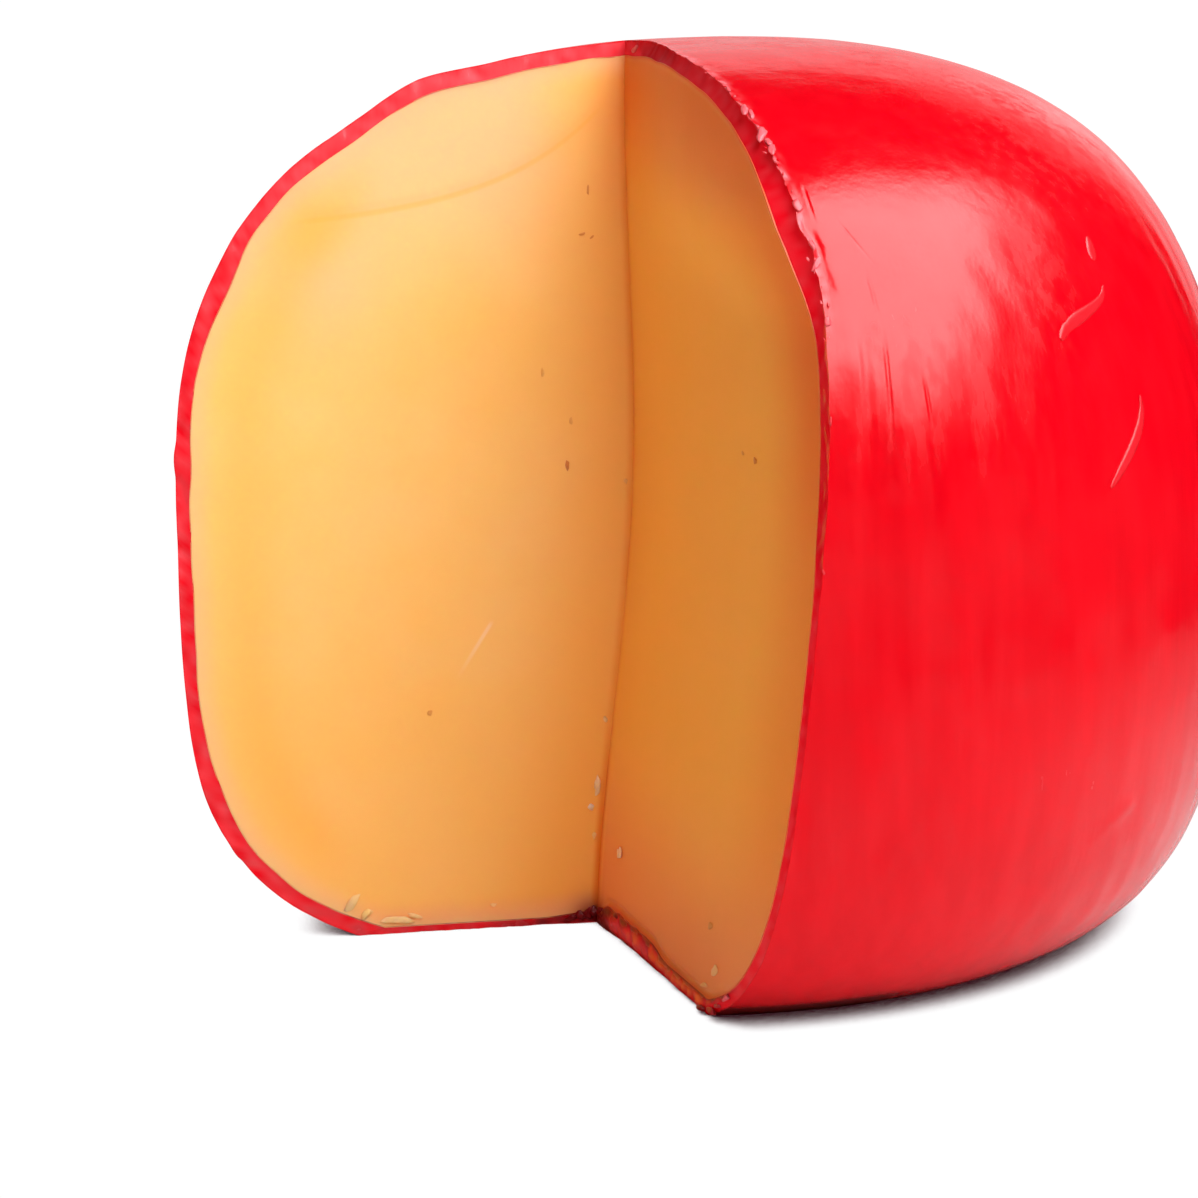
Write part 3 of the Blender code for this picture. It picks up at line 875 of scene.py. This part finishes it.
def crumbAxes(rows):
    # centres and half axes of the bits in a table, each turned in its face's plane by its lean
    centres, axes = [], []
    for side, s, z, along, up, depth, lean, _ in rows:
        place, faceAxes = onFace(side, s, z, 0.25 * depth)
        c, d = math.cos(math.radians(lean)), math.sin(math.radians(lean))
        turned = np.array([[c, d, 0], [-d, c, 0], [0, 0, 1]]) @ faceAxes
        centres.append(place)
        axes.append(turned * np.array([along, up, depth])[:, None] * mm)
    return np.array(centres), np.array(axes), np.array([row[-1] for row in rows])


def looseBits(pasteMaterial, waxMaterial):
    # crumbs of paste and of wax, each kind one piece
    store = newStore()
    for kind, name, seed in (("pale", "pale", 51), ("specks", "stain", 53)):
        centres, axes, tint = crumbAxes(crumbs[kind])
        addCrumbs(store, centres, axes, seed, uneven=0.4, amber=0.6, crease=farOff, rind=9.0, arc=farOff,
                  scratchAcross=farOff, **{name: tint})
    buildPiece(store, "cheese_crumbs", pasteMaterial)
    store = newStore()
    centres, axes, tint = crumbAxes(crumbs["wax"])
    # the wax crumbs that are not pale are painted dark maroon
    addCrumbs(store, centres, axes, 57, uneven=0.34, worn=0.8 * tint, grimy=1 - tint)
    buildPiece(store, "wax_crumbs", waxMaterial)


flecks = {
    "count": 40,
    "from": 86,                         # height in mm of the lowest ones; they grow denser upwards
    "underTop": 1.2,                    # how far in mm the highest stay under the edge's top
    "size": (0.15, 0.45),               # half length in mm
    "width": (0.3, 0.55),               # half width and half depth, as shares of it
    "depth": (0.14, 0.24),
    "spread": 0.35,                     # spread in mm across the edge
    "lean": 0.35,                       # spread in radians of the turn in the skin
    "palest": 0.35,
    # big ones: height, half length, way back from the edge in mm, and how pale
    "big": ((116.1, 0.7, 0.1, 0.35), (114.2, 1.1, 0.2, 0.55), (113.6, 0.9, 0.6, 0.5), (112.4, 0.6, 0.1, 0.35),
            (111.6, 1.3, 0.2, 0.55), (110.8, 0.9, 0.5, 0.45), (110.0, 1.1, 0.1, 0.5), (109.0, 0.6, 0.0, 0.4),
            (104.0, 0.9, 0.3, 0.45), (99.7, 0.8, 0.1, 0.45), (97.5, 0.9, 0.3, 0.4), (91.1, 0.7, 0.3, 0.3),
            (79.8, 0.5, 0.1, 0.15), (61.8, 0.35, 0.1, 0.15)),
}


def waxFlecks(edge, material):
    # Flakes that the blade tore off, sitting on the right rim's outer edge: flat lumps laid along it, each
    # turned in the skin by a little and set back from the edge. Small ones are drawn at random.
    draw = np.random.default_rng(61)
    count, lowest, big = flecks["count"], flecks["from"], np.array(flecks["big"])
    edge = edge[(edge[:, 2] > 50 * mm) & (np.arange(len(edge)) > 4)]
    edge = edge[np.argsort(edge[:, 2])]
    heights = edge[:, 2] / mm
    z = lowest + (heights[-1] - flecks["underTop"] - lowest) * draw.uniform(0, 1, count) ** 0.6
    size = draw.uniform(*flecks["size"], count) * (0.6 + 0.4 * (z - lowest) / 40)
    back = draw.normal(0, flecks["spread"], count)
    pale = draw.uniform(0.0, flecks["palest"], count)
    z, size, back, pale = (np.concatenate(both) for both in zip((z, size, back, pale), big.T))
    centre, ahead = (np.stack([np.interp(at, heights, column) for column in edge.T], axis=-1)
                     for at in (z, z + 0.4))
    along, normal = unit(ahead - centre), outward(centre)
    across = unit(np.cross(along, normal))
    away = across * np.sign((across * intoBall("right")).sum(axis=-1, keepdims=True))
    lean = draw.normal(0, flecks["lean"], len(z))[:, None]
    wide, deep = (draw.uniform(*flecks[name], len(z))[:, None] for name in ("width", "depth"))
    axes = np.stack([along * np.cos(lean) + away * np.sin(lean),
                     (away * np.cos(lean) - along * np.sin(lean)) * wide, normal * deep], axis=1)
    centre = centre + (back[:, None] * away + 0.08 * normal) * mm
    store = newStore()
    addCrumbs(store, centre, axes * size[:, None, None] * mm, 63, uneven=0.4, worn=pale)
    buildPiece(store, "wax_flecks", material)


# runs of wax that set on the skin: the path as azimuth in degrees and height in mm, the half width in mm
# at its start and its end, and how far it stands up as a share of that
waxRuns = {
    "comma": (((-62.4, 86.0), (-61.2, 87.2), (-59.6, 87.9), (-57.4, 88.5), (-55.0, 89.2), (-53.2, 90.0),
               (-52.3, 91.2)), (1.6, 0.55), 0.36),
    "drop": (((-50.6, 96.9), (-51.0, 95.9), (-51.6, 94.9), (-52.0, 94.1)), (0.75, 1.05), 0.36),
    "hair": (((-51.9, 77.6), (-52.0, 76.0), (-52.6, 74.4), (-53.8, 72.6), (-55.4, 70.8), (-57.2, 69.0),
              (-59.0, 67.2)), (0.6, 0.85), 0.38),
}


def onBall(azimuth, height):
    # the skin's point at an azimuth and height, by halving the radius
    way = np.stack([np.cos(azimuth), np.sin(azimuth)], axis=-1)

    def isInside(radius):
        return outsideness(np.concatenate([radius[:, None] * way, height[:, None]], axis=-1), 0) < 0
    radius = halveDown(isInside, np.zeros_like(height), np.full_like(height, outOfBall))
    return np.concatenate([radius[:, None] * way, height[:, None]], axis=-1)


def runsOfWax(material, rows=60, columns=16, smoothings=10, sunk=0.6, taper=1.6):
    # Each run is a flat oval profile carried along its smoothed path on the skin and sunk by a share of
    # its rise, so that only its low top shows; its half width goes from start to end by a power, taper,
    # and the root of a sine draws in both ends.
    store = newStore()
    share = np.linspace(0, 1, rows)
    around = np.linspace(0, 2 * math.pi, columns + 1)[None, :, None]
    for path, (start, end), rise in waxRuns.values():
        stops = np.linspace(0, 1, len(path))
        azimuth, height = (np.interp(share, stops, column) for column in np.array(path).T)
        for _ in range(smoothings):
            for column in (azimuth, height):
                column[1:-1] = (column[:-2] + 2 * column[1:-1] + column[2:]) / 4
        line = onBall(np.radians(azimuth), height * mm)
        normal = outward(line)
        side = unit(np.cross(normal, np.gradient(line, axis=0)))
        radius = (end + (start - end) * (1 - share) ** taper) * mm * np.sin(math.pi * share) ** 0.5
        ring = np.cos(around) * side[:, None] + rise * (np.sin(around) - sunk) * normal[:, None]
        # the runs' faint pale pink is a painted highlight
        numbers = addPoints(store, line[:, None] + radius[:, None, None] * ring, worn=0.05)
        numbers[:, -1] = numbers[:, 0]
        addSkin(store, closedEnds(numbers), turned=True)
    buildPiece(store, "wax_runs", material)




waxMaterial, pasteMaterial = dippedWax(), pressedPaste()
tornEdge = waxShell(waxMaterial)
cheesePaste(pasteMaterial)
looseBits(pasteMaterial, waxMaterial)
waxFlecks(tornEdge, waxMaterial)
runsOfWax(waxMaterial)


studio = {
    "middle": (0.0, 0.0, 60 * mm),      # the softbox's plane is square to the line from here
    "keyAzimuth": -30.0,
    "keyElevation": 50.0,
    "keyDistance": 700 * mm,
    "keyOffset": (-129 * mm, 86 * mm),  # its middle, across and up in that plane
    "keyTurn": 135.7,                   # turn of its long side in that plane
    # the softbox's lit patch: across from keyLeft to 350 mm and up from the top to the foot, dying away
    # softly; its left side leans by keyLean
    "keyFrom": (-520 * mm, -520 * mm),
    "keyTo": (350 * mm, 700 * mm),
    "keyLeft": ((-500, 0.0), (-420, 0.06), (-360, 0.15), (-235, 1.0)),
    "keyLean": 0.16,
    "keyTop": (-460, -250),
    "keyFoot": (300, 660),
    "keyRadiance": 6.6,
    # softboxes that face the origin: name, azimuth, elevation, distance in metres, size, radiance, colour
    "others": (("warm_fill", -143, 18, 1.1, (0.9, 0.7), 1.56, "#FF6020"),
               ("back", 69, 14, 1.4, (1.2, 0.8), 0.85, "#FFC8C8"),
               ("glint", 59, 14, 1.39, (0.26, 0.4), 0.40, "#FFFFFF")),
    "surround": 0.02,                   # even light from all round
    "backdrop": 1.05,                   # what the camera meets past the floor, and on it
    "floorGlow": 1.02,
    "nearFloor": 0.22,                  # radius in metres of the floor that the wax's gloss meets
    # its lit pool: middle, reach, and greys by the share of the reach
    "poolMiddle": (85 * mm, -28 * mm, 0),
    "poolReach": 200 * mm,
    "pool": ((0.0, 0.62), (0.2, 0.52), (0.4, 0.28), (0.75, 0.10), (1.0, 0.05)),
    # the shadow beside the base: its reach, and colours by how open the floor is
    "contactReach": 5 * mm,
    "contact": ((0.05, "#1E0208"), (0.20, "#4A1020"), (0.29, "#C0A8AE"), (0.36, "#FFFFFF")),
}


def direction(azimuth, elevation):
    azimuth, elevation = math.radians(azimuth), math.radians(elevation)
    return Vector((math.cos(elevation) * math.cos(azimuth), math.cos(elevation) * math.sin(azimuth),
                   math.sin(elevation)))


def softbox(name, place, across, facing, size, radiance, colour="#FFFFFF"):
    # a rectangular light at place that shines along facing, its first side along across
    light = bpy.data.lights.new(name, "AREA")
    light.shape = "RECTANGLE"
    light.size, light.size_y = size
    light.energy = radiance * math.pi * size[0] * size[1]
    light.color = linear(colour)[:3]
    lamp = bpy.data.objects.new(name, light)
    bpy.context.collection.objects.link(lamp)
    back = -facing.normalized()
    across = (across - across.dot(back) * back).normalized()
    lamp.matrix_world = Matrix((across, back.cross(across), back)).transposed().to_4x4()
    lamp.location = place
    lamp.visible_camera = False
    return lamp


def featheredKey():
    # The key: a rectangle of light whose brightness is a product of soft steps across and up it, drawn
    # from the lamp's own flat coordinates (0 to 1 both ways)
    toKey = direction(studio["keyAzimuth"], studio["keyElevation"])
    sideways = Vector((0, 0, 1)).cross(toKey).normalized()
    upwards = toKey.cross(sideways)
    turn = math.radians(studio["keyTurn"])
    across = sideways * math.cos(turn) + upwards * math.sin(turn)
    (left, top), (right, foot) = studio["keyFrom"], studio["keyTo"]
    place = (Vector(studio["middle"]) + toKey * studio["keyDistance"]
             + sideways * studio["keyOffset"][0] + upwards * studio["keyOffset"][1]
             + across * (left + right) / 2 + toKey.cross(across) * (top + foot) / 2)
    lamp = softbox("key", place, across, -toKey, (right - left, foot - top), studio["keyRadiance"])
    lamp.data.use_nodes = True
    tree = lamp.data.node_tree
    flat = addNode(tree, "SeparateXYZ", {0: addNode(tree, "NewGeometry").outputs["Parametric"]}).outputs
    u = mapped(tree, flat["X"], 0.0, 1.0, left / mm, right / mm)
    v = mapped(tree, flat["Y"], 0.0, 1.0, top / mm, foot / mm)
    leaning = maths(tree, "MULTIPLY_ADD", v, -studio["keyLean"], u)
    start, end = studio["keyLeft"][0][0], studio["keyLeft"][-1][0]
    share = ramp(tree, mapped(tree, leaning, start, end),
                 *(((at - start) / (end - start), glow) for at, glow in studio["keyLeft"]))
    share = softShare(tree, (share,), (v, *studio["keyTop"], 0.0, 1.0), (v, *studio["keyFoot"], 1.0, 0.0))
    tree.links.new(share, tree.nodes["Emission"].inputs["Strength"])


featheredKey()
for name, azimuth, elevation, distance, size, radiance, colour in studio["others"]:
    toLight = direction(azimuth, elevation)
    lamp = softbox(name, toLight * distance, direction(azimuth + 90, 0), -toLight, size, radiance, colour)
    lamp.visible_glossy = name != "warm_fill"

world = bpy.data.worlds.new("studio")
bpy.context.scene.world = world
world.use_nodes = True
tree = world.node_tree
tree.nodes["Background"].inputs["Color"].default_value = (1, 1, 1, 1)
tree.nodes["Background"].inputs["Strength"].default_value = studio["surround"]
backdrop = addNode(tree, "Background", {"Color": (1, 1, 1, 1), "Strength": studio["backdrop"]})
seen = addNode(tree, "MixShader", {0: addNode(tree, "LightPath").outputs["Is Camera Ray"],
                                   1: tree.nodes["Background"].outputs[0], 2: backdrop.outputs[0]})
tree.links.new(seen.outputs[0], tree.nodes["World Output"].inputs["Surface"])
world.cycles_visibility.glossy = False
bpy.context.scene.view_settings.view_transform = "Standard"


def floorDisc(name, inner, outer, material, segments=96):
    # flat ring between two radii on the floor; inner 0 gives a disc
    store = newStore()
    around = np.linspace(0, 2 * math.pi, segments + 1)[None]
    radius = np.array([[inner], [outer]])
    numbers = addPoints(store, np.stack(np.broadcast_arrays(
        radius * np.cos(around), radius * np.sin(around), 0.0 * radius), axis=-1))
    numbers[:, -1] = numbers[:, 0]
    if not inner:
        numbers[0] = numbers[0, 0]
    addSkin(store, numbers)
    disc = makeObject(store, name, material)
    return disc


def studioPaper():
    # Matt white paper. The sweep's own lights, which don't reach the ball, are drawn as a glow that
    # only the camera meets and that dies away close to the ball. What the wax's gloss meets is lit in
    # a pool in front of the ball, to the right.
    made, tree, _, place, _ = newMaterial("studio_paper", (), Base_Color=(0.9, 0.9, 0.9, 1), Roughness=0.8)
    rays = addNode(tree, "LightPath").outputs
    away = addNode(tree, "VectorMath", {0: place, 1: studio["poolMiddle"]}, operation="DISTANCE")
    pool = ramp(tree, mapped(tree, away.outputs["Value"], 0.0, studio["poolReach"]), *studio["pool"])
    near = addNode(tree, "AmbientOcclusion", {"Distance": studio["contactReach"]}, samples=6).outputs["AO"]
    shadow = ramp(tree, near, *studio["contact"])
    shown = tree.nodes["Principled BSDF"].outputs[0]
    glow = addNode(tree, "Emission", {"Color": shadow, "Strength": studio["floorGlow"]})
    for ray, other in (("Is Glossy Ray", addNode(tree, "BsdfDiffuse", {"Color": pool})),
                       ("Is Camera Ray", glow)):
        shown = addNode(tree, "MixShader", {0: rays[ray], 1: shown, 2: other.outputs[0]}).outputs[0]
    tree.links.new(shown, tree.nodes["Material Output"].inputs["Surface"])
    return made


paper = studioPaper()
floorDisc("floor_near", 0.0, studio["nearFloor"], paper)
floorDisc("floor_far", studio["nearFloor"], 6.0, paper).visible_glossy = False


view = {
    "place": (-131.45 * mm, -569.36 * mm, 171.17 * mm),
    "yaw": -1.496,                      # degrees, clockwise from +Y before the turn to the part's axes
    "pitch": -12.284,
    "roll": -2.028,
    "turned": -13.0,
    "lens": 131.12,
}


def standCamera():
    # turned about Z by its yaw and the part's own turn, tipped by its pitch, rolled about its line of sight
    camera = bpy.data.objects.new("camera", bpy.data.cameras.new("camera"))
    bpy.context.collection.objects.link(camera)
    stand = Matrix.Translation(view["place"])
    heading = view["turned"] - view["yaw"]
    for degrees, axis in ((heading, "Z"), (90 + view["pitch"], "X"), (view["roll"], "Z")):
        stand = stand @ Matrix.Rotation(math.radians(degrees), 4, axis)
    camera.matrix_world = stand
    camera.data.lens = view["lens"]
    camera.data.sensor_width = 36.0
    camera.data.clip_start = 0.01
    bpy.context.scene.camera = camera


standCamera()
print("stage, lights and camera are set")
